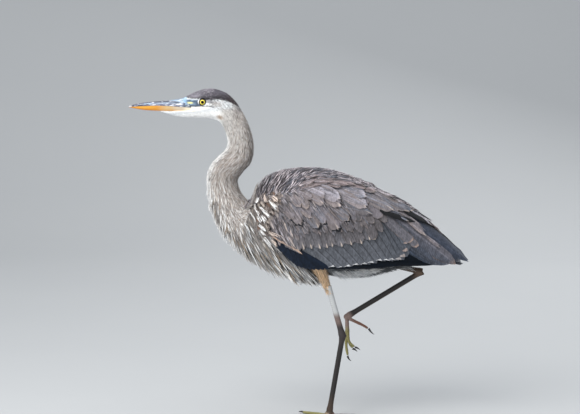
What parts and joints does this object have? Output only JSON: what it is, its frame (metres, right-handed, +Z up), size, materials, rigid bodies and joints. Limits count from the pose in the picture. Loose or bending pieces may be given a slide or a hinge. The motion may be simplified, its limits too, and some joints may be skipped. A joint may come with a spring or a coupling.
{
  "type": "great blue heron",
  "caption": "Life-size great blue heron in first-year plumage, stalking on one leg with the other drawn up behind and the neck in an S; a still figure that stands on its own foot.",
  "frame": {"origin": "on the floor, under the middle of the ball of the standing (left) foot, on its flat sole", "axes": "+X forward, the way the bill points; +Y to the bird's left; +Z up"},
  "size_m": [0.762, 0.167, 0.7513],
  "materials": {
    "feathers_head": "matte",
    "feathers_neck": "matte",
    "feathers_body": "matte",
    "feathers_coverts": "matte",
    "feathers_flight": "satin",
    "feathers_plume": "matte",
    "feathers_thigh": "matte",
    "leg_pale": "satin",
    "leg_dark": "satin",
    "foot_skin": "satin",
    "claw_horn": "satin",
    "bill_dark_horn": "satin",
    "bill_orange_horn": "satin",
    "eye_ball": "wet gloss"
  },
  "bodies": {
    "root": {"head": "feathers_head", "bill_upper": "bill_dark_horn", "bill_lower": "bill_orange_horn", "eye_left": "eye_ball", "eye_right": "eye_ball", "neck_upper": "feathers_neck", "neck_middle": "feathers_neck", "neck_lower": "feathers_neck", "trunk": "feathers_body", "tail": "feathers_flight", "breast_plumes": "feathers_plume", "wing_left_coverts": "feathers_coverts", "wing_right_coverts": "feathers_coverts", "wing_left_flight": "feathers_flight", "wing_right_flight": "feathers_flight", "thigh_left": "feathers_thigh", "shank_left": "leg_pale", "tarsus_left": "leg_dark", "foot_left_ball": "foot_skin", "toe_left_inner": "foot_skin", "claw_left_inner": "claw_horn", "toe_left_middle": "foot_skin", "claw_left_middle": "claw_horn", "toe_left_outer": "foot_skin", "claw_left_outer": "claw_horn", "toe_left_hind": "foot_skin", "claw_left_hind": "claw_horn", "thigh_right": "feathers_thigh", "shank_right": "leg_pale", "tarsus_right": "leg_dark", "foot_right_ball": "foot_skin", "toe_right_inner": "foot_skin", "claw_right_inner": "claw_horn", "toe_right_middle": "foot_skin", "claw_right_middle": "claw_horn", "toe_right_outer": "foot_skin", "claw_right_outer": "claw_horn", "toe_right_hind": "foot_skin", "claw_right_hind": "claw_horn"}
  },
  "joints": []
}
